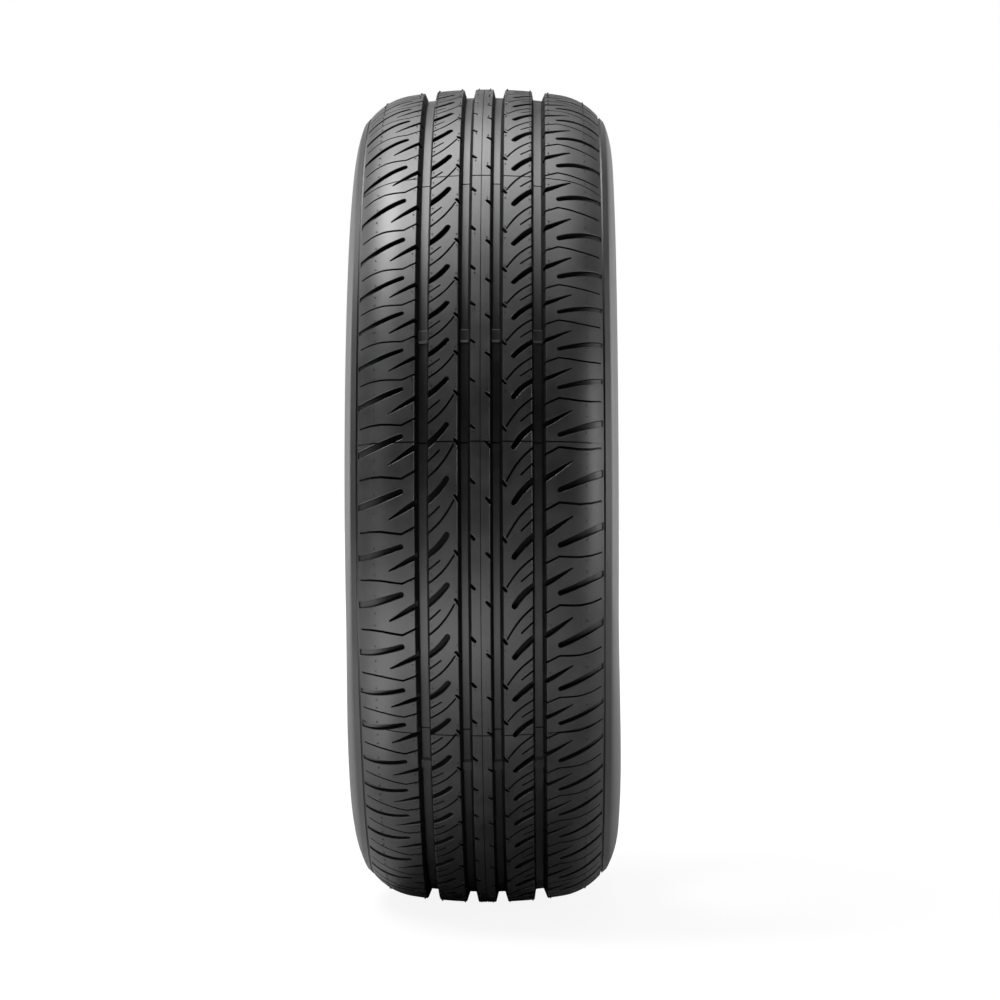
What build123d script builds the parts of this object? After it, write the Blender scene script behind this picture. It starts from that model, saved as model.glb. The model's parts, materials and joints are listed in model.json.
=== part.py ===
from build123d import *

import os
from math import asin, atan2, cos, degrees, hypot, radians, sin, sqrt, tan

# Car tyre, 195/65 R15, moulded whole in rubber, with four grooves and a pitched tread pattern.
# Millimetres. The axle is +Y, +Z is up and the origin is the wheel centre. Angles around the tyre are
# measured at the front, from +X up towards +Z. Across the tyre, places are distances from its middle plane.

# Tyre size
outer_diameter = 634.5
section_width = 201.0
seat_diameter = 380.2
rim_width = 152.4

# Tread crown and shoulder
crown_radius = 360.0
shoulder_radius = 49.0
shoulder_width = 29.0
edge_inset = 13.5
edge_step = 1.0

# Grooves and ribs, from the middle outwards
centre_rib_width = 14.5
inner_groove_width = 8.0
middle_rib_width = 22.0
outer_groove_width = 9.2
groove_depth = 8.0
groove_draft = 8.0

# Wear bars across the grooves
wear_bar_height = 1.6
wear_bar_length = 9.0
wear_bar_count = 6
wear_bar_angle = 21.5

# Walls
crown_thickness = 16.0
sidewall_thickness = 7.0
apex_thickness = 14.5
widest_share = 0.552
liner_bands = 4

# Beads
bead_width = 18.7
heel_radius = 6.0
heel_bands = 3
toe_chamfer = 1.6
flange_height = 10.0
rim_line_height = 23.2
rim_line_overhang = 8.3
rim_line_step = 1.2

# Tread pitches: their lengths before they are closed into one turn, and their order going down
pitch_length = {"S": 29.2, "M": 34.6, "L": 39.6}
pitch_order = "LMLMSMSSSMLLLMSSSMLMSSMLLLMSSSSMLMSSMLLMLMSSMSSSSMLLLMSSSML"
first_pitch_angle = 0.5
mirror_shift = 0.022

# Slots of the tread pattern: starts and leans are shares of a pitch, going down
long_slot_length = 28.5
long_slot_gap = 3.0
long_slot_lean = 0.3
long_slot_inner_width = 3.5
long_slot_outer_width = 5.0
long_slot_inner_depth = 4.5
long_slot_outer_depth = 2.5
short_slot_length = 18.5
short_slot_start = 0.24
short_slot_lean = 0.27
short_slot_inner_width = 3.2
short_slot_tip_width = 0.8
short_slot_depth = 5.5
rib_slot_length = 13.7
rib_slot_start = 0.145
rib_slot_lean = -0.385
rib_slot_sag = 0.05
rib_slot_width = 3.8
rib_slot_depth = 6.0
cutter_overlap = 2.0
cutter_height = 20.0

# Contact patch, where the tyre's own weight flattens the tread
contact_depth = 2.0

outer_radius = outer_diameter / 2
seat_radius = seat_diameter / 2
half_section = section_width / 2
half_rim = rim_width / 2
edge_place = half_section - edge_inset
crown_place = edge_place - shoulder_width
widest_radius = seat_radius + widest_share * (outer_radius - seat_radius)
rim_line = (seat_radius + rim_line_height, half_rim + rim_line_overhang)

inner_groove_place = (centre_rib_width + inner_groove_width) / 2
middle_rib_start = centre_rib_width / 2 + inner_groove_width
middle_rib_end = middle_rib_start + middle_rib_width
outer_groove_place = middle_rib_end + outer_groove_width / 2
shoulder_rib_start = middle_rib_end + outer_groove_width
grooves = [
    (side * place, width)
    for side in (-1, 1)
    for place, width in ((inner_groove_place, inner_groove_width), (outer_groove_place, outer_groove_width))
]

crown_turn = degrees(asin(crown_place / crown_radius))
edge_turn = degrees(asin(crown_place / crown_radius + shoulder_width / shoulder_radius))
shoulder_centre = (
    outer_radius - crown_radius + (crown_radius - shoulder_radius) * cos(radians(crown_turn)),
    crown_place - shoulder_radius * sin(radians(crown_turn)),
)


def tread_radius(place):
    """Radius of the tread surface at a distance from the middle plane."""
    place = abs(place)
    if place <= crown_place:
        return outer_radius - crown_radius + sqrt(crown_radius**2 - place**2)
    return shoulder_centre[0] + sqrt(shoulder_radius**2 - (place - shoulder_centre[1]) ** 2)


def arc_points(centre, radius, start, end, bands):
    """Points of an arc of the section, with angles from the outward radius towards the side."""
    angles = [radians(start + (end - start) * i / bands) for i in range(bands + 1)]
    return [(centre[0] + radius * cos(angle), centre[1] + radius * sin(angle)) for angle in angles]


def bead_points():
    """Half of the bead's section, from the rim line round the heel and the seat to the toe."""
    toe_place = half_rim - bead_width
    heel_centre = (seat_radius + heel_radius, half_rim - heel_radius)
    return [
        rim_line,
        (rim_line[0], rim_line[1] - rim_line_step),
        (seat_radius + flange_height, half_rim),
        *arc_points(heel_centre, heel_radius, 90, 180, heel_bands),
        (seat_radius, toe_place + toe_chamfer),
        (seat_radius + toe_chamfer, toe_place),
    ]


def liner_points():
    """Half of the inside's section, from the bead up the wall and round to a straight crown."""
    liner_place = half_section - sidewall_thickness
    apex = (rim_line[0], rim_line[1] - apex_thickness)
    rise, inset = widest_radius - apex[0], liner_place - apex[1]
    wall_radius = (rise**2 + inset**2) / (2 * inset)
    wall_turn = degrees(atan2(rise, wall_radius - inset))
    turn_radius = outer_radius - crown_thickness - widest_radius
    wall_centre = (widest_radius, liner_place - wall_radius)
    turn_centre = (widest_radius, liner_place - turn_radius)
    wall = arc_points(wall_centre, wall_radius, 90 + wall_turn, 90, liner_bands)
    turn = arc_points(turn_centre, turn_radius, 90, 0, liner_bands)
    return wall + turn[1:] + [(outer_radius - crown_thickness, 0)]


def groove_outline(place, width):
    """Section of one groove: a flat floor between walls that open outwards."""
    floor = tread_radius(place) - groove_depth
    top = floor + groove_depth + cutter_overlap
    narrow = width / 2 - groove_depth * tan(radians(groove_draft))
    wide = width / 2 + cutter_overlap * tan(radians(groove_draft))
    return [(floor, place - narrow), (floor, place + narrow), (top, place + wide), (top, place - wide)]


def pitch_marks():
    """Size of each pitch, with the angle where it starts and the degrees that it takes."""
    whole = sum(pitch_length[size] for size in pitch_order)
    angle = first_pitch_angle
    marks = []
    for size in pitch_order:
        turn = 360 * pitch_length[size] / whole
        marks.append((size, angle, turn))
        angle -= turn
    return marks


def slot_planes(size, place, share, floor, tilt=0):
    """Planes of one slot's floor in every pitch of a size, on both halves of the tread.

    Local x runs outwards across the tread and down the tilt. The second half of the tread is the first half
    turned half a turn about the radius through the middle of the pattern.
    """
    planes = []
    for mark_size, angle, turn in pitch_marks():
        if mark_size != size:
            continue
        for side in (-1, 1):
            around = radians(angle + turn * (side * (share + mirror_shift) + mirror_shift))
            radial = Vector(cos(around), 0, sin(around))
            across = Vector(0, side, 0)
            out = across * cos(radians(tilt)) - radial * sin(radians(tilt))
            up = radial * cos(radians(tilt)) + across * sin(radians(tilt))
            planes.append(Plane(origin=radial * floor + across * place, x_dir=out, z_dir=up))
    return planes


def slot_outline(line, widths):
    """Closed outline round a centre line, with a width at each of its points."""
    left, right = [], []
    for i, (x, y) in enumerate(line):
        before, after = line[max(i - 1, 0)], line[min(i + 1, len(line) - 1)]
        heading = atan2(after[1] - before[1], after[0] - before[0])
        dx, dy = -sin(heading) * widths[i] / 2, cos(heading) * widths[i] / 2
        left.append((x + dx, y + dy))
        right.append((x - dx, y - dy))
    return left + right[::-1]


def long_slot(size):
    """Shoulder slot that runs out to the tread edge, on a floor that falls with the shoulder."""
    end = edge_place - long_slot_gap
    start = end - long_slot_length
    floor = tread_radius(start) - long_slot_inner_depth
    fall = floor - tread_radius(end) + long_slot_outer_depth
    run = hypot(long_slot_length, fall)
    lean = long_slot_lean * pitch_length[size]
    outline = slot_outline([(0, 0), (run, lean)], [long_slot_inner_width, long_slot_outer_width])
    return slot_planes(size, start, 0, floor, degrees(asin(fall / run))), outline


def short_slot(size):
    """Tapered shoulder slot that opens into the outer groove."""
    lean = short_slot_lean * pitch_length[size]
    slope = lean / short_slot_length
    line = [(-cutter_overlap, -slope * cutter_overlap), (short_slot_length, lean)]
    outline = slot_outline(line, [short_slot_inner_width, short_slot_tip_width])
    floor = tread_radius(shoulder_rib_start) - short_slot_depth
    return slot_planes(size, shoulder_rib_start, short_slot_start, floor), outline


def rib_slot(size):
    """Curved slot of the middle rib, from the outer groove to a blind tip."""
    lean = rib_slot_lean * pitch_length[size]
    slope = lean / rib_slot_length
    bow = (-rib_slot_length / 2, lean / 2 + rib_slot_sag * pitch_length[size])
    line = [(cutter_overlap, -slope * cutter_overlap), bow, (-rib_slot_length, lean)]
    outline = slot_outline(line, [rib_slot_width] * len(line))
    floor = tread_radius(middle_rib_end) - rib_slot_depth
    return slot_planes(size, middle_rib_end, rib_slot_start, floor), outline


with BuildPart() as tyre:
    with BuildSketch(Plane.XY) as section:
        with BuildLine():
            # The ribs are straight between the grooves, with their ends on the crown arc.
            rib_ends = (0, inner_groove_place, outer_groove_place, crown_place)
            ribs = Polyline(*[(tread_radius(place), place) for place in rib_ends])
            slope = Vector(-sin(radians(crown_turn)), cos(radians(crown_turn)))
            shoulder = JernArc(ribs @ 1, slope, shoulder_radius, edge_turn - crown_turn)
            edge = Line(shoulder @ 1, shoulder @ 1 + (shoulder % 1).rotate(Axis.Z, 90) * edge_step)
            widest = (widest_radius, half_section)
            TangentArc(widest, edge @ 1, tangent=(1, 0))
            TangentArc(widest, rim_line, tangent=(-1, 0))
            Polyline(*bead_points(), *liner_points(), ribs @ 0)
        make_face()
        mirror(about=Plane.XZ)
        for place, width in grooves:
            with BuildLine():
                Polyline(*groove_outline(place, width), close=True)
            make_face(mode=Mode.SUBTRACT)
    revolve(axis=Axis.Y)

    for place, width in grooves:
        with Locations(Plane.XZ.offset(-place)):
            with PolarLocations(tread_radius(place) - groove_depth, wear_bar_count, wear_bar_angle):
                Box(2 * wear_bar_height, wear_bar_length, width)

    for size in pitch_length:
        for slot in (long_slot, short_slot, rib_slot):
            planes, outline = slot(size)
            with BuildSketch(*planes):
                Polygon(*outline, align=None)
    extrude(amount=cutter_height, mode=Mode.SUBTRACT)

    split(bisect_by=Plane.XY.offset(contact_depth - outer_radius), keep=Keep.TOP)

os.makedirs("parts", exist_ok=True)
tyre.part.label = "tyre"
export_step(tyre.part, "parts/tyre.step")
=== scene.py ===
"""Car tyre that stands on its tread: a pitched pattern of grooves, slots and sipes on a plain casing."""

import json
from math import asin, atan2, cos, pi, radians, sin, tan, tau

import bpy
import numpy as np
from mathutils import Matrix, Vector


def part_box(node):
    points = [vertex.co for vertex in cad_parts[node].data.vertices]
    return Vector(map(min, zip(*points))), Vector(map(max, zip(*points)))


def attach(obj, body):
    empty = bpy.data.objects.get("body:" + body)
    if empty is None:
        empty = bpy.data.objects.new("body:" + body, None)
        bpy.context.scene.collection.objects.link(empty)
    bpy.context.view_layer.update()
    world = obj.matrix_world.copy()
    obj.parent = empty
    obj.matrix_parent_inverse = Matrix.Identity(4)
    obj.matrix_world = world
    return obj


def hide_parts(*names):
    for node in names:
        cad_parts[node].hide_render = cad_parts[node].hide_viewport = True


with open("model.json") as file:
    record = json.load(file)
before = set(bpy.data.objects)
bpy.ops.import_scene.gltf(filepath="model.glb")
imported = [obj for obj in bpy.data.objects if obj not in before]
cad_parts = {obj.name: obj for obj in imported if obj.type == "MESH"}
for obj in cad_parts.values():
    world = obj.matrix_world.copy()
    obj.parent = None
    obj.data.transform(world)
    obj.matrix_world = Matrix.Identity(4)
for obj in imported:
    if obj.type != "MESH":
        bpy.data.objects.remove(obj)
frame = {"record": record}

bl_info = {
    "name": "Car Tyre",
    "version": (1, 0, 0),
    "blender": (4, 5, 0),
    "location": "View3D > Sidebar > Tyre",
    "description": "Models a car tyre from one pitch of its tread, and the studio around it",
    "category": "Add Mesh",
}

MM = 0.001
# Points closer together than WELD are one point, and points closer than NEAR to a plane lie on it.
WELD, NEAR = 0.02 * MM, 0.01 * MM
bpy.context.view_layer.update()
CAD_LOW, CAD_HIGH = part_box("tyre")
MOUNTS = {mount["name"]: mount for mount in frame["record"]["mounts"]}
# The sidewalls are modelled this much further in than the solid model's.
WALL_INSET = 2.5 * MM
# Places of the casing's two materials in the list of rubbers.
SIDEWALL, LINER = 1, 2

# The order of the long, middle and short pitches round the tyre, going down from the front.
PITCH_ORDER = "LMLMSMSSSMLLLMSSSMLMSSMLLLMSSSSMLMSSMLLMLMSSMSSSSMLLLMSSSML"
PITCH_LENGTH = {"S": 29.2, "M": 34.6, "L": 39.6}
FIRST_PITCH = radians(0.5)
# The tread's second half is the first one turned half a turn, about a point this share of a pitch above the
# start of the pitch.
MIRROR_SHIFT = 0.022
WEAR_BAR_COUNT = 6
MOULD_LINE_COUNT = 9

# Cuts on one half of a pitch. Each point is a distance across from the middle of the tread (mm), a share of
# the pitch going down, the width there (mm) and the depth there (mm).
SHOULDER_SLOT = [
    (55.9, -0.01, 3.6, 5.8), (65.0, 0.085, 4.0, 4.6), (75.0, 0.19, 4.3, 2.8), (86.6, 0.305, 4.4, 1.3),
]
GROOVE_SLOT = [
    (43.0, 0.165, 3.9, 5.6), (49.5, 0.252, 3.5, 5.6), (56.5, 0.37, 2.5, 5.6), (64.5, 0.505, 0.8, 5.6),
]
RIB_SLOT = [
    (40.0, 0.215, 4.2, 6.0), (33.5, 0.075, 4.3, 6.0), (28.0, -0.075, 4.2, 6.0), (23.6, -0.235, 3.9, 6.0),
]
RIB_NOTCH = [(12.5, 0.235, 2.6, 4.6), (15.5, 0.14, 2.5, 4.6), (18.0, 0.06, 1.9, 4.6)]
CENTRE_NOTCH = [(10.0, 0.7, 2.7, 4.6), (7.2, 0.77, 2.6, 4.6), (4.2, 0.845, 1.9, 4.6)]
SHOULDER_SIPE = [
    (43.5, 0.59, 1.5, 4.5), (46.0, 0.625, 1.5, 4.5), (55.5, 0.76, 1.55, 4.5), (63.0, 0.742, 1.55, 4.5),
    (70.0, 0.725, 1.5, 4.5), (78.0, 0.738, 1.4, 3.5), (85.2, 0.78, 1.2, 2.0),
]
RIB_SIPE_SHORT = [(39.0, 0.51, 1.35, 4.5), (33.5, 0.38, 1.3, 4.5), (28.3, 0.25, 1.2, 4.5)]
RIB_SIPE_LONG = [
    (39.0, 0.79, 1.45, 4.5), (32.0, 0.63, 1.5, 4.5), (25.5, 0.44, 1.5, 4.5), (18.3, 0.135, 1.3, 4.5),
]
# Each cut is its points and the number of steps of a curve through them, or none for straight runs.
CUTS = {
    "shoulder_slot": (SHOULDER_SLOT, 7),
    "groove_slot": (GROOVE_SLOT, 5),
    "rib_slot": (RIB_SLOT, 6),
    "rib_notch": (RIB_NOTCH, 2),
    "centre_notch": (CENTRE_NOTCH, 2),
    "shoulder_sipe": (SHOULDER_SIPE, 0),
    "rib_sipe_short": (RIB_SIPE_SHORT, 3),
    "rib_sipe_long": (RIB_SIPE_LONG, 8),
}
# Vent pips on one half of a pitch: a distance across (mm) and a share of the pitch.
PIPS = [
    (4.4, 0.93), (17.4, 0.215), (17.4, 0.925), (35.0, 0.268), (35.0, 0.563), (35.0, 0.908),
    (48.8, 0.38), (48.8, 0.72), (75.5, 0.06), (75.5, 0.4), (75.5, 0.64),
]
# Rows of edges across each shoulder, where the tread bends most: distances across (mm).
SHOULDER_ROWS = [58, 63, 67.5, 71.5, 75, 78.3, 81.5, 84.2, 86]
# A narrow groove under the tread's edge, a sloped buttress and a notched ring lead to the sidewall: drops
# below the edge and distances out from it (mm).
BUTTRESS = [(2.4, 0), (2.4, 1.3), (1.5, 1.4), (4.9, 4.7), (5.7, 4.6), (6.4, 5.4)]
# Raised rings of the lower sidewall, as shares of the way from its widest part to the rim line.
WALL_RINGS = [0.12, 0.5, 0.78, 0.9]


class TyreSizes(bpy.types.PropertyGroup):
    """Sizes of the tyre, with the ones that the solid model fixes read from it."""

    outer_radius: bpy.props.FloatProperty(
        name="Outer radius", description="Radius of the tread at its middle",
        default=CAD_HIGH.x, unit="LENGTH")
    half_section: bpy.props.FloatProperty(
        name="Half section", description="Distance from the middle plane to the widest part of a sidewall",
        default=CAD_HIGH.y - WALL_INSET, unit="LENGTH")
    floor_height: bpy.props.FloatProperty(
        name="Floor height", description="Height of the flat that the tyre's weight makes on its tread",
        default=CAD_LOW.z, unit="LENGTH")
    seat_radius: bpy.props.FloatProperty(
        name="Bead seat radius", description="Radius of the seats that press onto the rim",
        default=MOUNTS["bead_seat"]["dims"]["r_mm"] * MM, unit="LENGTH")
    half_rim: bpy.props.FloatProperty(
        name="Half rim width", description="Distance from the middle plane to a rim flange",
        default=MOUNTS["rim_flange_right"]["pos_m"][1], unit="LENGTH")
    crown_radius: bpy.props.FloatProperty(
        name="Crown radius", description="Radius of the tread's section across its middle",
        default=360 * MM, unit="LENGTH")
    shoulder_radius: bpy.props.FloatProperty(
        name="Shoulder radius", description="Radius of the tread's section at its shoulders",
        default=49 * MM, unit="LENGTH")
    shoulder_width: bpy.props.FloatProperty(
        name="Shoulder width", description="Width of the rounded shoulder across the tread",
        default=29 * MM, unit="LENGTH")
    edge_inset: bpy.props.FloatProperty(
        name="Edge inset", description="Distance of the tread's edge inside the widest part of a sidewall",
        default=11 * MM, unit="LENGTH")
    inner_groove: bpy.props.FloatVectorProperty(
        name="Inner groove", description="Place of each inner groove's middle, and its width",
        default=(11.4 * MM, 10 * MM), size=2, unit="LENGTH")
    outer_groove: bpy.props.FloatVectorProperty(
        name="Outer groove", description="Place of each outer groove's middle, and its width",
        default=(41.4 * MM, 10.8 * MM), size=2, unit="LENGTH")
    groove_depth: bpy.props.FloatProperty(
        name="Groove depth", description="Depth of the four grooves", default=8 * MM, unit="LENGTH")
    wear_bar: bpy.props.FloatVectorProperty(
        name="Wear bar", description="Length and height of the wear bars in the grooves",
        default=(9 * MM, 1.6 * MM), size=2, unit="LENGTH")
    wear_bar_angle: bpy.props.FloatProperty(
        name="Wear bar angle", description="Angle of the first set of wear bars above the front",
        default=radians(21.5), subtype="ANGLE")
    mould_line_angle: bpy.props.FloatProperty(
        name="Mould line angle", description="Angle of the first mould line above the front",
        default=radians(7.3), subtype="ANGLE")
    crown_thickness: bpy.props.FloatProperty(
        name="Crown thickness", description="Rubber from the tread to the inside",
        default=16 * MM, unit="LENGTH")
    wall_thickness: bpy.props.FloatProperty(
        name="Wall thickness", description="Rubber at the widest part of a sidewall",
        default=7 * MM, unit="LENGTH")
    apex_thickness: bpy.props.FloatProperty(
        name="Apex thickness", description="Rubber at the rim line, over the bead",
        default=14.5 * MM, unit="LENGTH")
    rim_line: bpy.props.FloatVectorProperty(
        name="Rim line", description="Height of the rim line over the bead seat, and its overhang",
        default=(23.2 * MM, 8.3 * MM), size=2, unit="LENGTH")
    bead_width: bpy.props.FloatProperty(
        name="Bead width", description="Distance from the rim flange to the toe of the bead",
        default=18.7 * MM, unit="LENGTH")
    sag: bpy.props.FloatProperty(
        name="Sag", description="How far the tyre's weight pushes each sidewall out near the floor",
        default=3 * MM, unit="LENGTH")


def deselect():
    """Leave edit mode and select nothing."""
    if bpy.context.object and bpy.context.object.mode != "OBJECT":
        bpy.ops.object.mode_set(mode="OBJECT")
    bpy.ops.object.select_all(action="DESELECT")


def take(thing):
    """Select one object alone and make it the active one."""
    deselect()
    thing.select_set(True)
    bpy.context.view_layer.objects.active = thing
    return thing


def edit_all(thing):
    """Open an object in edit mode with all of it selected."""
    take(thing)
    bpy.ops.object.mode_set(mode="EDIT")
    bpy.ops.mesh.select_all(action="SELECT")


def points_of(mesh):
    """Places of a mesh's vertices as an array."""
    places = np.empty(len(mesh.vertices) * 3)
    mesh.vertices.foreach_get("co", places)
    return places.reshape(-1, 3)


def move_points(mesh, places):
    """Put a mesh's vertices at new places."""
    mesh.vertices.foreach_set("co", places.ravel())
    mesh.update()


def tread_edge(sizes):
    """Distance of the tread's edge from the middle plane."""
    return sizes.half_section - sizes.edge_inset


def tread_radius(sizes, across):
    """Radius of the tread surface at distances across from its middle."""
    across = np.abs(across)
    crown_place = tread_edge(sizes) - sizes.shoulder_width
    turn = asin(crown_place / sizes.crown_radius)
    crown = sizes.crown_radius - np.sqrt(sizes.crown_radius**2 - np.minimum(across, crown_place) ** 2)
    centre = crown_place - sizes.shoulder_radius * sin(turn)
    rise = np.sqrt(sizes.shoulder_radius**2 - (np.maximum(across, crown_place) - centre) ** 2)
    return sizes.outer_radius - (crown + sizes.shoulder_radius * cos(turn) - rise)


def pitch_starts():
    """Where each pitch starts round the tyre, as shares of one turn, with the end of the last."""
    lengths = np.array([PITCH_LENGTH[size] for size in PITCH_ORDER])
    return np.concatenate([[0], np.cumsum(lengths) / lengths.sum()])


def loft(name, rings):
    """Closed object drawn from a face over its first ring, which is pulled out to each ring after it."""
    rings = np.array(rings)
    deselect()
    bpy.ops.mesh.primitive_circle_add(vertices=len(rings[0]), fill_type="NGON")
    thing = bpy.context.object
    thing.name = thing.data.name = name
    move_points(thing.data, rings[0])
    for low, high in zip(rings, rings[1:]):
        bpy.ops.object.mode_set(mode="EDIT")
        bpy.ops.mesh.extrude_region()
        bpy.ops.object.mode_set(mode="OBJECT")
        places = points_of(thing.data)
        drawn = np.zeros(len(places), bool)
        thing.data.vertices.foreach_get("select", drawn)
        gaps = np.linalg.norm(places[drawn, None] - low, axis=2)
        places[drawn] = high[gaps.argmin(axis=1)]
        move_points(thing.data, places)
    edit_all(thing)
    bpy.ops.mesh.normals_make_consistent(inside=False)
    bpy.ops.object.mode_set(mode="OBJECT")
    return thing


def cut_stations(points, steps):
    """Points along a cut's centre line: a curve through the given ones, or those alone for no steps."""
    columns = np.array(points).T
    if steps == 0:
        return columns.T
    knots = np.linspace(0, 1, len(points))
    stations = np.linspace(0, 1, steps + 1)
    curves = [np.polyval(np.polyfit(knots, column, len(points) - 1), stations) for column in columns]
    return np.array(curves).T


def cut_tool(name, points, steps, half, copy, pitch):
    """Cutter for one slot or sipe: straight walls along its centre line, on one half of the tread."""
    rise, chamfer, cap_turns = 1 * MM, 0.3 * MM, (radians(40), radians(72))
    widest_sipe, open_place = 1.8, 86
    across, share, widths, depths = cut_stations(points, steps).T
    along = (half * (share + MIRROR_SHIFT) - MIRROR_SHIFT + copy) * pitch
    line = np.column_stack([along, -half * across * MM])
    slopes = np.gradient(line, axis=0)
    headings = slopes / np.linalg.norm(slopes, axis=1)[:, None]
    ends = [(0, -1), (-1, 1)]
    if across[-1] > open_place:
        # This slot has a square end, just short of the tread's edge.
        headings[-1] = np.sign(headings[-1]) * (0, 1)
        ends.pop()
    stations = list(zip(line, headings, widths * MM, depths * MM))
    wide = widths.max() > widest_sipe
    if wide:
        # A slot has half-round ends, drawn by narrowing stations past its line, and chamfered edges.
        for end, way in ends:
            place, heading, width, depth = stations[end]
            caps = [(place + way * heading * width / 2 * sin(turn), heading, width * cos(turn), depth)
                    for turn in cap_turns]
            stations = caps[::-1] + stations if way < 0 else stations + caps
    rings = []
    for place, heading, width, depth in stations:
        side = np.array([-heading[1], heading[0]])
        wall = [(width / 2, rise), (width / 2, -depth)]
        if wide:
            wall = [(width / 2 + chamfer + rise, rise), (width / 2, -chamfer), (width / 2, -depth)]
        corners = wall + [(-reach, height) for reach, height in reversed(wall)]
        rings.append([(*(place + side * reach), height) for reach, height in corners])
    return loft(name, rings)


def groove_tool(place, width, depth, lean, start, end):
    """Cutter for a stretch of groove: a floor with rounded corners between walls that lean outwards."""
    rim, rise, corner, draft = 0.45 * MM, 1 * MM, 0.5 * MM, tan(radians(14))
    edge = width / 2
    section = []
    for side in (1, -1):
        foot = edge - rim - (draft + side * lean) * (depth - corner)
        wall = [(edge + rise, rise), (edge - rim, -rim), (foot, corner - depth), (foot - corner, -depth)]
        section += [(side * across, height) for across, height in wall][::side]
    rings = [[(x, place + across, height) for across, height in section] for x in (start, end)]
    return loft("groove", rings)


def groove_tools(sizes, pitch):
    """Cutters for the four grooves of one pitch, which lean with the crown."""
    tools = []
    for place, width in (sizes.inner_groove, sizes.outer_groove):
        for side in (-1, 1):
            lean = side * place / sizes.crown_radius
            tools.append(groove_tool(side * place, width, sizes.groove_depth, lean, -pitch, 2 * pitch))
    return tools


def groove_bars(sizes, middle, length, height):
    """Low bars with sloped sides across the four grooves, let into their floors and walls."""
    root, width_share = 0.4 * MM, 0.42
    top, foot = height - sizes.groove_depth, -root - sizes.groove_depth
    half = length / 2
    reach = half + height + root
    section = [(middle - reach, foot), (middle - half, top), (middle + half, top), (middle + reach, foot)]
    bars = []
    for place, width in (sizes.inner_groove, sizes.outer_groove):
        for side in (-1, 1):
            ends = (side * place - width_share * width, side * place + width_share * width)
            bars.append(loft("bar", [[(x, y, z) for x, z in section] for y in ends]))
    return bars


def line_tool(start, end, width, floor=0):
    """Cutter for a fine line from one point of the tread to another, along it or across it, on a floor."""
    depth, rise = 0.7 * MM, 1 * MM
    section = [(-width / 2, -depth), (width / 2, -depth), (width / 2, rise), (-width / 2, rise)]
    (x, y), (end_x, end_y) = start, end
    if x == end_x:
        rings = [[(x + reach, place, floor + height) for reach, height in section] for place in (y, end_y)]
    else:
        rings = [[(place, y + reach, floor + height) for reach, height in section] for place in (x, end_x)]
    return loft("line", rings)


def mould_line_tools(sizes, middle):
    """Cutters for the line where two segments of the mould meet, over the ribs and on the groove floors."""
    width, margin, width_share = 0.9 * MM, 0.5 * MM, 0.35
    reach = tread_edge(sizes) - margin
    tools = [line_tool((middle, -reach), (middle, reach), width)]
    for place, groove_width in (sizes.inner_groove, sizes.outer_groove):
        for side in (-1, 1):
            ends = (side * place - width_share * groove_width, side * place + width_share * groove_width)
            tools.append(line_tool((middle, ends[0]), (middle, ends[1]), width, -sizes.groove_depth))
    return tools


def vent_pips(pitch):
    """Short stubs that the vents of the mould leave on the tread."""
    radius, tip_radius, height, root = 0.6 * MM, 0.42 * MM, 0.8 * MM, 1 * MM
    pips = []
    for across, share in PIPS:
        for half in (1, -1):
            along = (half * (share + MIRROR_SHIFT) - MIRROR_SHIFT) % 1 * pitch
            deselect()
            bpy.ops.mesh.primitive_cone_add(
                vertices=5, radius1=radius, radius2=tip_radius, depth=height + root,
                location=(along, -half * across * MM, (height - root) / 2))
            bpy.ops.object.transform_apply(location=True, rotation=True, scale=True)
            pips.append(bpy.context.object)
    return pips


def pattern_tools(pitch):
    """Cutters for every slot, notch and sipe that reaches into one pitch."""
    tools = []
    for name, (points, steps) in CUTS.items():
        for half in (1, -1):
            for copy in (-1, 0, 1, 2):
                tool = cut_tool(name, points, steps, half, copy, pitch)
                along = points_of(tool.data)[:, 0]
                if along.max() > 0 and along.min() < pitch:
                    tools.append(tool)
                else:
                    bpy.data.objects.remove(tool)
    return tools


def boolean(block, tools, operation):
    """Cut or join a list of tools with a block in one go, and remove them."""
    shelf = bpy.data.collections.new("tools")
    for tool in tools:
        shelf.objects.link(tool)
    take(block)
    modifier = block.modifiers.new(operation, "BOOLEAN")
    modifier.operation = operation
    modifier.solver = "EXACT"
    modifier.operand_type = "COLLECTION"
    modifier.collection = shelf
    bpy.ops.object.modifier_apply(modifier=modifier.name)
    for tool in tools:
        bpy.data.objects.remove(tool)
    bpy.data.collections.remove(shelf)


def slice_across(axis, places):
    """Cut the mesh in edit mode by planes across one axis."""
    normal = [float(i == axis) for i in range(3)]
    for place in places:
        bpy.ops.mesh.select_all(action="SELECT")
        bpy.ops.mesh.bisect(plane_co=[place * part for part in normal], plane_no=normal, threshold=1e-6)


def tread_block(sizes, rubbers, pitch, depth):
    """One flat pitch of tread as a block: x runs down the pitch, y across the tyre and z outwards."""
    size = (pitch, 2 * tread_edge(sizes), depth)
    centre_line_width = 0.55 * MM
    deselect()
    bpy.ops.mesh.primitive_cube_add(size=1, location=(pitch / 2, 0, -depth / 2), scale=size)
    block = bpy.context.object
    bpy.ops.object.transform_apply(location=True, rotation=True, scale=True)
    for material in rubbers:
        block.data.materials.append(material)
    centre_line = line_tool((-pitch, 0), (2 * pitch, 0), centre_line_width)
    boolean(block, groove_tools(sizes, pitch) + [centre_line], "DIFFERENCE")
    boolean(block, pattern_tools(pitch), "DIFFERENCE")
    boolean(block, vent_pips(pitch), "UNION")
    return block


def own_copy(thing):
    """A copy of an object with its own mesh."""
    copy = thing.copy()
    copy.data = thing.data.copy()
    bpy.context.scene.collection.objects.link(copy)
    return copy


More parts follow.
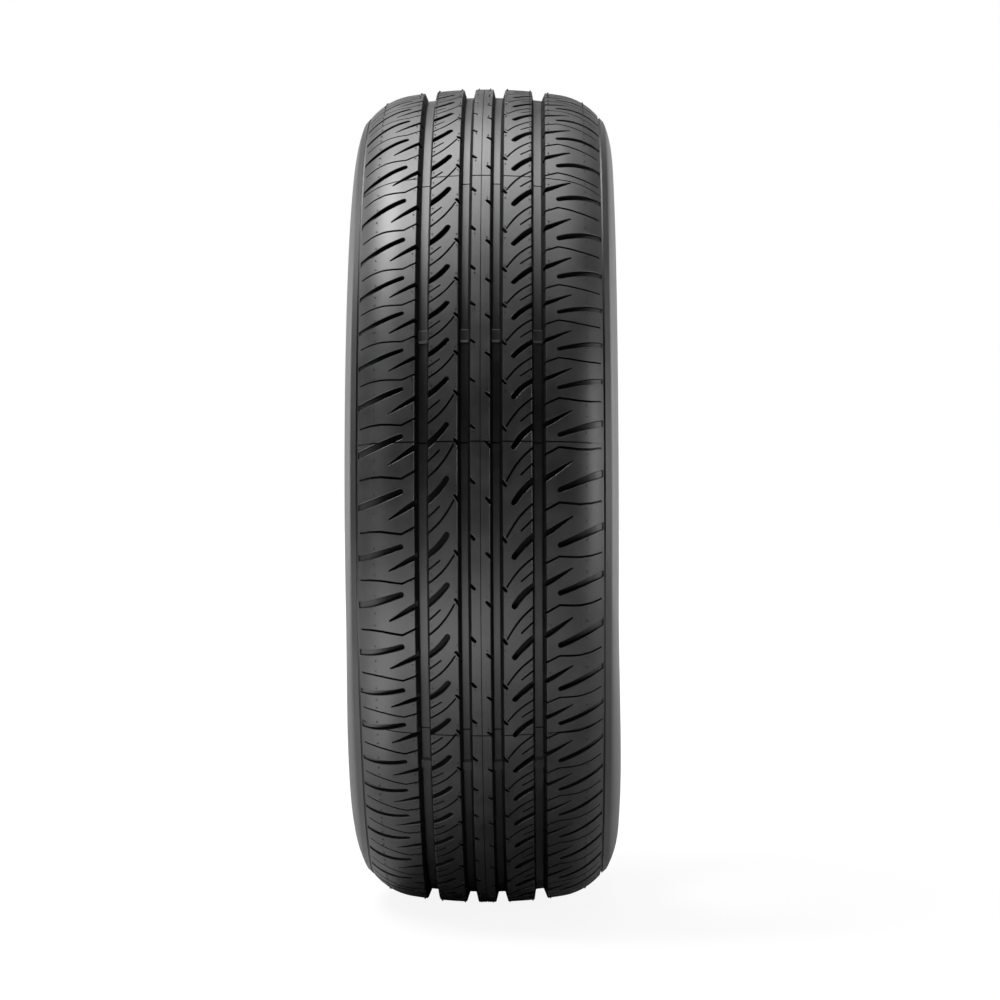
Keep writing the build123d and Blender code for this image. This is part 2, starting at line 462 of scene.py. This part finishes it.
def open_skin(sizes, block, pitch, depth):
    """Leave a block's tread surface alone, with rows of edges that let it follow the round of the tyre."""
    facing, edge = 0.9, tread_edge(sizes)
    edit_all(block)
    slice_across(0, [pitch / 3, pitch * 2 / 3])
    slice_across(1, [side * row * MM for row in SHOULDER_ROWS for side in (-1, 1)])
    bpy.ops.mesh.select_all(action="SELECT")
    bpy.ops.mesh.remove_doubles(threshold=WELD)
    bpy.ops.mesh.select_all(action="DESELECT")
    bpy.ops.object.mode_set(mode="OBJECT")

    for face in block.data.polygons:
        x, y, z = face.center
        end = min(abs(x), abs(x - pitch)) < NEAR and abs(face.normal.x) > facing
        side = abs(y) > edge - NEAR
        face.select = end or side or z < NEAR - depth
    bpy.ops.object.mode_set(mode="EDIT")
    bpy.ops.mesh.select_mode(type="FACE")
    bpy.ops.mesh.delete(type="FACE")

    # A point on one end without a partner on the other would leave a gap between two pitches.
    bpy.ops.mesh.select_mode(type="VERT")
    bpy.ops.mesh.select_all(action="DESELECT")
    bpy.ops.object.mode_set(mode="OBJECT")
    places = points_of(block.data)
    ends = [np.flatnonzero(abs(places[:, 0] - x) < NEAR) for x in (0, pitch)]
    for own, other in (ends, ends[::-1]):
        gaps = np.linalg.norm(places[own, None, 1:] - places[other, 1:], axis=2).min(axis=1)
        for i in own[gaps > WELD]:
            block.data.vertices[i].select = True
    bpy.ops.object.mode_set(mode="EDIT")
    bpy.ops.mesh.dissolve_verts(use_boundary_tear=False)
    bpy.ops.object.mode_set(mode="OBJECT")
    mark_cuts(sizes, block.data)


def mark_cuts(sizes, mesh):
    """Give each face corner its share of painted shade: one on cut walls and deep floors, and none on the
    tread.
    """
    steep, skin, line_depth, line_reach = 0.4, 0.35 * MM, 1.2 * MM, 78 * MM
    shallow, deep, floor = 1.2 * MM, 4.4 * MM, sizes.groove_depth - 1.8 * MM
    grooves = (sizes.inner_groove, sizes.outer_groove)
    dullness = mesh.attributes.new("dullness", "FLOAT", "CORNER").data
    for face in mesh.polygons:
        across, depth = abs(face.center.y), -face.center.z
        in_groove = depth > floor and any(abs(across - place) < width / 2 for place, width in grooves)
        on_line = depth < line_depth and across < line_reach or depth > sizes.groove_depth + skin
        wall = depth > skin and (face.normal.z < steep or on_line)
        for corner, vertex in zip(face.loop_indices, face.vertices):
            share = (-mesh.vertices[vertex].co.z - shallow) / (deep - shallow)
            # Painted shade: walls are fully shaded, slot floors darker the deeper they lie, and the tread
            # and groove floors not at all.
            dullness[corner].value = 1 if wall else 0 if in_groove else min(max(share, 0), 1)


def marked_pitches(starts, first_angle, count, margin):
    """Which pitches hold one of so many even marks round the tyre, and where in the pitch it is."""
    marks = {}
    for i in range(count):
        place = ((FIRST_PITCH - first_angle) / tau + i / count) % 1
        pitch = int(np.searchsorted(starts, place)) - 1
        share = (place - starts[pitch]) / (starts[pitch + 1] - starts[pitch])
        marks[pitch] = min(max(share, margin), 1 - margin)
    return marks


def tread_band(sizes, rubbers):
    """Every pitch in its order, wrapped round the tyre and joined into one open band."""
    starts = pitch_starts()
    bar_margin, line_margin = 0.2, 0.1
    bars = marked_pitches(starts, sizes.wear_bar_angle, WEAR_BAR_COUNT, bar_margin)
    lines = marked_pitches(starts, sizes.mould_line_angle, MOULD_LINE_COUNT, line_margin)
    length = tau * sizes.outer_radius
    pitch, depth = length / len(PITCH_ORDER), 1.5 * sizes.groove_depth
    block = tread_block(sizes, rubbers, pitch, depth)
    plain = own_copy(block)
    open_skin(sizes, plain, pitch, depth)
    tiles = []
    for i, (start, end) in enumerate(zip(starts, starts[1:])):
        marked = i in bars or i in lines
        tile = own_copy(block if marked else plain)
        if i in bars:
            boolean(tile, groove_bars(sizes, bars[i] * pitch, *sizes.wear_bar), "UNION")
        if i in lines:
            boolean(tile, mould_line_tools(sizes, lines[i] * pitch), "DIFFERENCE")
        if marked:
            open_skin(sizes, tile, pitch, depth)
        tile.location.x = start * length
        tile.scale.x = (end - start) * len(PITCH_ORDER)
        tiles.append(tile)
    for thing in (block, plain):
        bpy.data.objects.remove(thing)

    band = take(tiles[0])
    for tile in tiles:
        tile.select_set(True)
    bpy.ops.object.join()
    bpy.ops.object.transform_apply(location=True, rotation=True, scale=True)
    along, across, height = points_of(band.data).T
    turn = FIRST_PITCH - along / sizes.outer_radius
    reach = tread_radius(sizes, across) + height
    move_points(band.data, np.column_stack([reach * np.cos(turn), across, reach * np.sin(turn)]))
    edit_all(band)
    bpy.ops.mesh.remove_doubles(threshold=WELD)
    bpy.ops.object.mode_set(mode="OBJECT")
    return band


def raised_rows(steps, rings=(), width=0, height=0):
    """Stations along a wall, as shares of it, each with the height that a raised ring gives it."""
    rows = [(share, 0) for share in np.linspace(0, 1, steps + 1)
            if all(abs(share - ring) > 1.5 * width for ring in rings)]
    for ring in rings:
        rows += [(ring - width, 0), (ring - width / 2, height)]
        rows += [(ring + width / 2, height), (ring + width, 0)]
    return sorted(rows)


def wall_arc(widest, end, rows):
    """Points from the widest place of a wall to its end, on an arc that starts straight up or down."""
    rise, inset = end[0] - widest[0], widest[1] - end[1]
    radius = (rise**2 + inset**2) / (2 * inset)
    turn = atan2(rise, radius - inset)
    points = []
    for share, lift in rows:
        reach, angle = radius + lift, share * turn
        points.append((widest[0] + reach * sin(angle), widest[1] - radius + reach * cos(angle)))
    return points


def bead_outline(sizes, rim_line):
    """Half of a bead's section, as radius and distance across, from the rim line to the toe."""
    step, flange, heel, chamfer = 1.2 * MM, 10 * MM, 6 * MM, 1.6 * MM
    toe = sizes.half_rim - sizes.bead_width
    heel_arc = [(sizes.seat_radius + heel * (1 - sin(turn)), sizes.half_rim - heel * (1 - cos(turn)))
                for turn in np.linspace(0, pi / 2, 4)]
    return [
        (rim_line[0] - step / 2, rim_line[1] - step), (sizes.seat_radius + flange, sizes.half_rim),
        *heel_arc, (sizes.seat_radius, toe + chamfer), (sizes.seat_radius + chamfer, toe),
    ]


def casing_section(sizes):
    """Half of the casing's section, as radius and distance across, from the tread's edge to the inside."""
    widest_share, ring_width, ring_height, liner_reach = 0.552, 0.014, 0.45 * MM, 20 * MM
    edge = tread_edge(sizes)
    edge_radius = float(tread_radius(sizes, edge))
    height, overhang = sizes.rim_line
    rim_line = (sizes.seat_radius + height, sizes.half_rim + overhang)
    widest_radius = sizes.seat_radius + widest_share * (sizes.outer_radius - sizes.seat_radius)
    widest = (widest_radius, sizes.half_section)
    buttress = [(edge_radius - drop * MM, edge + out * MM) for drop, out in BUTTRESS]
    upper = wall_arc(widest, buttress[-1], raised_rows(5))
    lower = wall_arc(widest, rim_line, raised_rows(5, WALL_RINGS, ring_width, ring_height))
    outside = [(edge_radius, edge)] + buttress[:-1] + upper[::-1] + lower[1:] + bead_outline(sizes, rim_line)

    inner_widest = (widest_radius, sizes.half_section - sizes.wall_thickness)
    apex = (rim_line[0], rim_line[1] - sizes.apex_thickness)
    inner_wall = wall_arc(inner_widest, apex, raised_rows(4))
    crown = sizes.outer_radius - sizes.crown_thickness
    corner = inner_widest[1] - (crown - widest_radius)
    inner_corner = wall_arc(inner_widest, (crown, corner), raised_rows(5))
    return outside + inner_wall[::-1] + inner_corner[1:] + [(crown, corner - liner_reach)]


def casing(sizes, band):
    """Sidewalls, beads and inside: the band's left rim drawn ring by ring round the section to the right."""
    half = casing_section(sizes)
    section = [(radius, -across) for radius, across in half] + half[::-1]
    take(band)
    rim = points_of(band.data)[:, 1] < section[0][1] + NEAR
    bpy.ops.object.mode_set(mode="EDIT")
    bpy.ops.mesh.select_mode(type="VERT")
    bpy.ops.mesh.select_all(action="DESELECT")
    bpy.ops.object.mode_set(mode="OBJECT")
    band.data.vertices.foreach_set("select", rim)
    bpy.ops.object.mode_set(mode="EDIT")
    bpy.ops.mesh.select_mode(type="EDGE")
    bpy.ops.mesh.duplicate()
    bpy.ops.mesh.separate(type="SELECTED")
    bpy.ops.object.mode_set(mode="OBJECT")
    shell = next(thing for thing in bpy.context.selected_objects if thing != band)

    edit_all(shell)
    for (radius, across), (next_radius, next_across) in zip(section, section[1:]):
        scale = next_radius / radius
        bpy.ops.mesh.extrude_region_move(TRANSFORM_OT_translate={"value": (0, next_across - across, 0)})
        bpy.ops.transform.resize(value=(scale, 1, scale), center_override=(0, 0, 0))
    bpy.ops.object.mode_set(mode="OBJECT")
    return shell


def sagged(sizes, places):
    """Places with the walls pushed out a little near the floor, where the tyre's weight rests on them."""
    slope_start, slope_length = 0.3, 0.6
    x, y, z = places.T
    reach = np.hypot(x, z)
    inner = sizes.seat_radius + sizes.rim_line[0]
    outer = tread_radius(sizes, tread_edge(sizes))
    height = np.clip((reach - inner) / (outer - inner), 0, 1)
    low = np.clip((-z / reach - slope_start) / slope_length, 0, 1)
    share = y / sizes.half_section
    push = sizes.sag * np.sin(pi * height) * low**2 * (3 - 2 * low) * share * abs(share)
    return np.column_stack([x, y + push, z])


def smooth_tread(sizes, mesh):
    """Shade the tread's outer faces as one smooth crown with its shoulders, whatever cuts into them."""
    near, step = 0.03 * MM, 0.1 * MM
    edge = tread_edge(sizes)
    x, y, z = points_of(mesh).T
    across, reach = np.clip(y, -edge, edge), np.hypot(x, z)
    slope = (tread_radius(sizes, across - step) - tread_radius(sizes, across + step)) / (2 * step)
    smooth = np.column_stack([x / reach, slope, z / reach])
    on_tread = abs(tread_radius(sizes, across) - reach) < near
    corners = np.empty(len(mesh.loops), int)
    mesh.loops.foreach_get("vertex_index", corners)
    starts = np.empty(len(mesh.polygons), int)
    mesh.polygons.foreach_get("loop_start", starts)
    outer = np.logical_and.reduceat(on_tread[corners], starts)
    outer = np.repeat(outer, np.diff(starts, append=len(corners)))
    mesh.normals_split_custom_set(np.where(outer[:, None], smooth[corners], 0))


def moulded_tyre(sizes, band, shell):
    """Join the band and the casing into one closed skin, with the flat that it stands on."""
    shell.data.polygons.foreach_set("material_index", [SIDEWALL] * len(shell.data.polygons))
    take(band)
    shell.select_set(True)
    bpy.ops.object.join()
    edit_all(band)
    bpy.ops.mesh.remove_doubles(threshold=WELD)
    bpy.ops.mesh.normals_make_consistent(inside=False)
    bpy.ops.object.mode_set(mode="OBJECT")
    places = points_of(band.data)
    places[:, 2] = np.maximum(places[:, 2], sizes.floor_height)
    move_points(band.data, sagged(sizes, places))
    core_radius = (sizes.seat_radius + sizes.outer_radius) / 2
    for face in band.data.polygons:
        outward = Vector((face.center.x, 0, face.center.z)).normalized()
        inward = face.normal.dot(face.center - outward * core_radius) < 0
        if face.material_index == SIDEWALL and inward:
            face.material_index = LINER
    bpy.ops.object.shade_smooth_by_angle(angle=radians(32))
    smooth_tread(sizes, band.data)
    band.name = band.data.name = "moulded_tyre"
    return band


class Wire:
    """A node socket that takes part in Python expressions, each of which adds a Math node."""

    def __init__(self, tree, socket=None):
        self.tree = tree
        self.socket = socket

    def node(self, kind, settings=None, sockets=None, output=0):
        """Add a node, set it up, fill its sockets by name or number, and return one of its outputs."""
        made = self.tree.nodes.new(kind)
        for name, value in (settings or {}).items():
            setattr(made, name, value)
        for name, value in (sockets or {}).items():
            if isinstance(value, Wire):
                self.tree.links.new(value.socket, made.inputs[name])
            else:
                made.inputs[name].default_value = value
        return Wire(self.tree, made.outputs[output])

    def math(self, operation, *others):
        """A Math node on this value and the others, in their order."""
        return self.node("ShaderNodeMath", {"operation": operation}, dict(enumerate((self, *others))))

    def __add__(self, other):
        return self.math("ADD", other)

    def __rsub__(self, other):
        return self.node("ShaderNodeMath", {"operation": "SUBTRACT"}, {0: other, 1: self})

    def __mul__(self, other):
        return self.math("MULTIPLY", other)

    def __pow__(self, other):
        return self.math("POWER", other)

    __radd__ = __add__
    __rmul__ = __mul__

    def ramp(self, low, high, start=0.0, end=1.0):
        """This value's smooth way from one number to another, as it goes from low to high."""
        return self.node("ShaderNodeMapRange", {"interpolation_type": "SMOOTHSTEP"},
                         {0: self, 1: low, 2: high, 3: start, 4: end})

    def noise(self, scale, detail=2.0, roughness=0.5):
        """Noise at this place, about one half."""
        return self.node("ShaderNodeTexNoise", None,
                         {"Vector": self, "Scale": scale, "Detail": detail, "Roughness": roughness})

    def tint(self, first, second):
        """The colour between two, with this value as the share of the second."""
        return self.node("ShaderNodeMix", {"data_type": "RGBA"},
                         {0: self, 6: (*first, 1), 7: (*second, 1)}, 2)

    def bump(self, distance):
        """A normal for the shading from this height, where one stands for the distance."""
        return self.node("ShaderNodeBump", None, {"Height": self, "Distance": distance})


def rubber(name, colour, roughness, specular):
    """A rubber material with its plain values set, the start of its nodes and its shader."""
    material = bpy.data.materials.new(name)
    material.use_nodes = True
    shader = material.node_tree.nodes["Principled BSDF"]
    shader.inputs["Base Color"].default_value = (*colour, 1)
    shader.inputs["Roughness"].default_value = roughness
    shader.inputs["Specular IOR Level"].default_value = specular
    return material, Wire(material.node_tree), shader


def link(shader, name, wire):
    """Feed one socket of a shader."""
    wire.tree.links.new(wire.socket, shader.inputs[name])


def shade(colour, factor):
    """A colour made paler or darker."""
    return [part * factor for part in colour]


def around(start):
    """The place on the tyre, with its distance across, its angle round the axle and its radius."""
    place = start.node("ShaderNodeTexCoord", output="Object")
    parts = place.node("ShaderNodeSeparateXYZ", None, {0: place})
    x, y, z = (Wire(start.tree, parts.socket.node.outputs[name]) for name in "XYZ")
    return place, y, z.math("ARCTAN2", x), (x * x + z * z) ** 0.5


def around_noise(across, angle):
    """Noise drawn out round the tyre, as the turned surface of a mould leaves it."""
    fine, coarse = 1400, 6
    turned = across.node("ShaderNodeCombineXYZ", None, {"X": across * fine, "Y": angle * coarse})
    return turned.noise(1)


def tread_rubber(look):
    """Satin black rubber with a fine grain, cloudy patches and faint streaks round the tyre, and painted
    shade in its cuts.
    """
    colour = look.rubber_colour
    material, start, shader = rubber("tread_rubber", colour, look.tread_roughness, look.specular)
    place, across, angle, _ = around(start)
    clouds = place.noise(38, detail=4, roughness=0.6)
    grain = place.noise(1500)
    streaks = around_noise(across, angle)
    link(shader, "Base Color", clouds.ramp(0.3, 0.75).tint(shade(colour, 0.7), shade(colour, 1.55)))
    link(shader, "Roughness", look.tread_roughness - 0.09 + 0.12 * clouds + 0.06 * streaks)
    height = grain * 0.05 + place.noise(260, detail=3) * 0.08 + streaks * 0.06
    link(shader, "Normal", height.bump(0.3 * MM))

    # Painted shade: deep in the cuts and on their walls the rubber is painted darker and less glossy, where
    # little light gets in.
    satin = Wire(start.tree, shader.outputs[0])
    # A darker, duller copy of the rubber, used as painted shade in the cuts.
    painted_shade_rubber = start.node("ShaderNodeBsdfPrincipled", None, {
        "Base Color": (*shade(colour, 0.3), 1), "Roughness": 0.6, "Specular IOR Level": 0.12})
    dullness = start.node("ShaderNodeAttribute", {"attribute_name": "dullness"}, None, "Fac")
    mixed = start.node("ShaderNodeMixShader", None, {0: dullness, 1: satin, 2: painted_shade_rubber})
    link(material.node_tree.nodes["Material Output"], "Surface", mixed)
    return material


def sidewall_rubber(look):
    """Smoother rubber with fine rings and a band of short ribs round the wall."""
    rib_count, band_start, band_end, band_blur = 540, 238.4 * MM, 253 * MM, 0.6 * MM
    ring_pitch, ring_end, ring_blur = 3.2 * MM, 222 * MM, 4 * MM
    colour = look.rubber_colour
    material, start, shader = rubber("sidewall_rubber", colour, look.wall_roughness, look.specular)
    place, _, angle, radius = around(start)
    clouds = place.noise(22, detail=4, roughness=0.55)
    ribs = (angle * rib_count).math("SINE").ramp(-0.4, 0.4)
    band = radius.ramp(band_start, band_start + band_blur)
    band = band * radius.ramp(band_end, band_end + band_blur, 1, 0)
    rings = (radius * (tau / ring_pitch)).math("SINE").ramp(0.9, 1)
    rings = rings * radius.ramp(ring_end, ring_end + ring_blur, 1, 0)
    link(shader, "Base Color", clouds.ramp(0.3, 0.75).tint(shade(colour, 0.8), shade(colour, 1.4)))
    link(shader, "Roughness", look.wall_roughness - 0.05 + 0.1 * clouds)
    height = ribs * band + rings * 0.4 + place.noise(900) * 0.04
    link(shader, "Normal", height.bump(0.6 * MM))
    return material


def liner_rubber(look):
    """Dull rubber of the inside, with the slanted marks of the curing bladder."""
    colour, mark_count, slant = look.rubber_colour, 130, 240
    material, start, shader = rubber("liner_rubber", colour, look.liner_roughness, look.specular)
    place, across, angle, _ = around(start)
    clouds = place.noise(16, detail=4, roughness=0.6)
    marks = (angle * mark_count + across * slant).math("SINE").ramp(0.8, 1)
    link(shader, "Base Color", clouds.ramp(0.3, 0.75).tint(colour, shade(colour, 1.7)))
    link(shader, "Roughness", look.liner_roughness - 0.05 + 0.1 * clouds)
    link(shader, "Normal", (marks * 0.5 + place.noise(500, detail=3) * 0.1).bump(0.4 * MM))
    return material


class TyreLook(bpy.types.PropertyGroup):
    """Colour and gloss of the rubber."""

    rubber_colour: bpy.props.FloatVectorProperty(
        name="Rubber colour", description="Colour of the rubber",
        default=(0.014, 0.0142, 0.0148), subtype="COLOR")
    tread_roughness: bpy.props.FloatProperty(
        name="Tread roughness", description="Roughness of the tread", default=0.45, subtype="FACTOR")
    wall_roughness: bpy.props.FloatProperty(
        name="Sidewall roughness", description="Roughness of the sidewalls", default=0.42, subtype="FACTOR")
    liner_roughness: bpy.props.FloatProperty(
        name="Liner roughness", description="Roughness of the inside", default=0.6, subtype="FACTOR")
    specular: bpy.props.FloatProperty(
        name="Specular level", description="Strength of the rubber's reflections",
        default=0.5, subtype="FACTOR")


class StageLook(bpy.types.PropertyGroup):
    """The camera, the lamps and the pale floor."""

    camera_distance: bpy.props.FloatProperty(
        name="Camera distance", description="Distance of the camera from the wheel centre",
        default=2.919, unit="LENGTH")
    camera_yaw: bpy.props.FloatProperty(
        name="Camera yaw", description="Angle of the camera to the right of the tread",
        default=radians(0.87), subtype="ANGLE")
    camera_roll: bpy.props.FloatProperty(
        name="Camera roll", description="Turn of the camera about its own axis",
        default=radians(-0.205), subtype="ANGLE")
    focal_length: bpy.props.FloatProperty(
        name="Focal length", description="Lens of the camera in millimetres", default=133.8)
    frame_shift: bpy.props.FloatVectorProperty(
        name="Frame shift", description="Shift of the frame, as shares of its width",
        default=(0.01295, -0.0043), size=2)
    floor_colour: bpy.props.FloatVectorProperty(
        name="Floor colour", description="Colour of the floor under the lamps",
        default=(0.4, 0.4, 0.4), subtype="COLOR")
    fill_light: bpy.props.FloatProperty(
        name="Fill light", description="Strength of the even light from all round", default=0.03)
    key_power: bpy.props.FloatProperty(
        name="Key power", description="Power of the lamp above, to the left",
        default=62, unit="POWER")
    back_power: bpy.props.FloatProperty(
        name="Back power", description="Power of the wide lamp above and a little behind, to the left",
        default=29, unit="POWER")
    side_power: bpy.props.FloatProperty(
        name="Side power", description="Power of the tall lamp to the right",
        default=20, unit="POWER")
    card_power: bpy.props.FloatProperty(
        name="Card power", description="Power of the bright card on the floor in front",
        default=2.2, unit="POWER")


# Each lamp is its place, the point that it looks at and its size (m), then the power that it goes by and its
# share of that power.
LAMPS = {
    "key": ((0.3, -0.9, 1.8), (0, 0, 0.1), (1.0, 1.0), "key_power", 1),
    "key_right": ((0.35, 0.45, 1.8), (0, 0, 0.1), (1.0, 1.0), "key_power", 0.15),
    "back_left": ((-0.6, -0.7, 2.0), (0, 0, 0.1), (1.6, 1.6), "back_power", 1),
    "back_right": ((-0.6, 0.7, 2.0), (0, 0, 0.1), (1.6, 1.6), "back_power", 0.3),
    "top": ((-0.25, 0, 1.9), (0, 0, 0.1), (0.5, 0.8), "key_power", 0.15),
    "right": ((0.6, 1.6, 0), (0, 0, 0), (0.3, 1.5), "side_power", 1),
    "right_back": ((-0.8, 1.4, 0), (0, 0, 0), (0.6, 1.6), "side_power", 0.5),
    "left": ((1.2, -1.4, 0.1), (0, 0, 0), (0.5, 1.6), "side_power", 0.2),
    "left_back": ((-0.8, -1.4, 0.3), (0, 0, 0), (0.6, 1.6), "side_power", 0.5),
    "card": ((0.59, -0.3, -0.3), (0.59, -0.3, 1), (0.25, 0.7), "card_power", 1),
    "card_left": ((0.38, -0.3, -0.3), (0.38, -0.3, 1), (0.3, 0.3), "card_power", 0.4),
}


def area_lamp(name, place, target, size, power):
    """A soft square or oblong lamp that looks at a point and stays out of the picture."""
    deselect()
    bpy.ops.object.light_add(type="AREA", location=place)
    lamp = bpy.context.object
    lamp.name = name
    lamp.data.shape = "RECTANGLE"
    lamp.data.size, lamp.data.size_y = size
    lamp.data.energy = power
    lamp.rotation_euler = (Vector(target) - Vector(place)).to_track_quat("-Z", "Y").to_euler()
    lamp.visible_camera = False


def seen_directly(start):
    """Whether a ray comes from the camera, and whether it comes from a mirror or through glass."""
    rays = start.node("ShaderNodeLightPath").socket.node
    kinds = ("Camera", "Glossy", "Transmission")
    camera, glossy, glass = (Wire(start.tree, rays.outputs[f"Is {kind} Ray"]) for kind in kinds)
    return camera, glossy.math("MAXIMUM", glass)


def studio_world(stage):
    """White behind the tyre for the camera and for mirrors, and a dim even light from all round."""
    world = bpy.data.worlds.new("studio")
    bpy.context.scene.world = world
    world.use_nodes = True
    start = Wire(world.node_tree)
    camera, mirrors = seen_directly(start)
    heading = start.node("ShaderNodeTexCoord", output="Generated")
    parts = start.node("ShaderNodeSeparateXYZ", None, {0: heading}).socket.node
    away, up = (Wire(start.tree, parts.outputs[name]) for name in "XZ")
    # Mirrors see the white only behind the tyre and not far above the floor.
    behind = away.ramp(-0.75, -0.35, 1, 0) * up.ramp(0.15, 0.55, 1, 0)
    white = camera.math("MAXIMUM", mirrors * behind)
    shader = world.node_tree.nodes["Background"]
    shader.inputs["Color"].default_value = (1, 1, 1, 1)
    link(shader, "Strength", white + (1 - white) * stage.fill_light)


def pale_floor(stage, height):
    """A wide floor that looks white, keeps the tyre's shadow and throws little light back up."""
    kept_shade, glow_strength = 0.2, 1.12
    deselect()
    bpy.ops.mesh.primitive_plane_add(size=60, location=(0, 0, height))
    floor = bpy.context.object
    floor.name = "floor"
    material = bpy.data.materials.new("pale_floor")
    material.use_nodes = True
    nodes = material.node_tree.nodes
    start = Wire(material.node_tree)
    camera, mirrors = seen_directly(start)
    place = start.node("ShaderNodeTexCoord", output="Object")
    forward = start.node("ShaderNodeSeparateXYZ", None, {0: place}, "X")
    away = place.node("ShaderNodeVectorMath", {"operation": "LENGTH"}, {0: place}, "Value")
    # Near the tyre the floor keeps some of its own shade, and mirrors see the white only behind the tyre.
    seen = camera.math("MAXIMUM", mirrors * forward.ramp(-2.5, -1, 1, 0))
    white = seen * away.ramp(0.4, 1.6, 1 - kept_shade, 1)
    shader = nodes["Principled BSDF"]
    shader.inputs["Base Color"].default_value = (*stage.floor_colour, 1)
    shader.inputs["Roughness"].default_value = 0.9
    shader.inputs["Specular IOR Level"].default_value = 0.1
    glow = start.node("ShaderNodeEmission", None, {"Color": (1, 1, 1, 1), "Strength": glow_strength})
    own = Wire(start.tree, shader.outputs[0])
    mixed = start.node("ShaderNodeMixShader", None, {0: white, 1: own, 2: glow})
    link(nodes["Material Output"], "Surface", mixed)
    floor.data.materials.append(material)


def photo_camera(stage):
    """Camera level with the axle, in front of the tread."""
    deselect()
    yaw = stage.camera_yaw
    place = Vector((cos(yaw), sin(yaw), 0)) * stage.camera_distance
    bpy.ops.object.camera_add(location=place)
    camera = bpy.context.object
    turn = (-place).to_track_quat("-Z", "Y").to_matrix() @ Matrix.Rotation(stage.camera_roll, 3, "Z")
    camera.rotation_euler = turn.to_euler()
    camera.data.lens = stage.focal_length
    camera.data.shift_x, camera.data.shift_y = stage.frame_shift
    bpy.context.scene.camera = camera


class TYRE_OT_moulded_tyre(bpy.types.Operator):
    """Model the tread from its pitches, draw the casing from its rim and join them into one moulded tyre"""

    bl_idname = "tyre.moulded_tyre"
    bl_label = "Moulded tyre"

    def execute(self, context):
        sizes, look = context.scene.tyre_sizes, context.scene.tyre_look
        rubbers = [tread_rubber(look), sidewall_rubber(look), liner_rubber(look)]
        band = tread_band(sizes, rubbers)
        tyre = moulded_tyre(sizes, band, casing(sizes, band))
        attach(tyre, "root")
        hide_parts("tyre")
        return {"FINISHED"}


class TYRE_OT_studio(bpy.types.Operator):
    """Set up the floor, the lamps and the camera"""

    bl_idname = "tyre.studio"
    bl_label = "Studio"

    def execute(self, context):
        stage = context.scene.tyre_stage
        context.scene.view_settings.view_transform = "Standard"
        pale_floor(stage, context.scene.tyre_sizes.floor_height)
        studio_world(stage)
        for name, (place, target, size, power, share) in LAMPS.items():
            area_lamp(name, place, target, size, share * getattr(stage, power))
        photo_camera(stage)
        return {"FINISHED"}


class TYRE_PT_panel(bpy.types.Panel):
    """Sizes, looks and steps of the tyre"""

    bl_idname = "TYRE_PT_panel"
    bl_label = "Car tyre"
    bl_space_type = "VIEW_3D"
    bl_region_type = "UI"
    bl_category = "Tyre"

    def draw(self, context):
        for step in (TYRE_OT_moulded_tyre, TYRE_OT_studio):
            self.layout.operator(step.bl_idname)
        for group in (context.scene.tyre_sizes, context.scene.tyre_look, context.scene.tyre_stage):
            box = self.layout.box()
            for name in group.__annotations__:
                box.prop(group, name)


CLASSES = (TyreSizes, TyreLook, StageLook, TYRE_OT_moulded_tyre, TYRE_OT_studio, TYRE_PT_panel)
GROUPS = {"tyre_sizes": TyreSizes, "tyre_look": TyreLook, "tyre_stage": StageLook}


def register():
    for kind in CLASSES:
        bpy.utils.register_class(kind)
    for name, group in GROUPS.items():
        setattr(bpy.types.Scene, name, bpy.props.PointerProperty(type=group))


def unregister():
    for name in GROUPS:
        delattr(bpy.types.Scene, name)
    for kind in reversed(CLASSES):
        bpy.utils.unregister_class(kind)


def main():
    """Build the tyre and its studio."""
    register()
    bpy.ops.tyre.moulded_tyre()
    bpy.ops.tyre.studio()


if __name__ == "__main__":
    main()
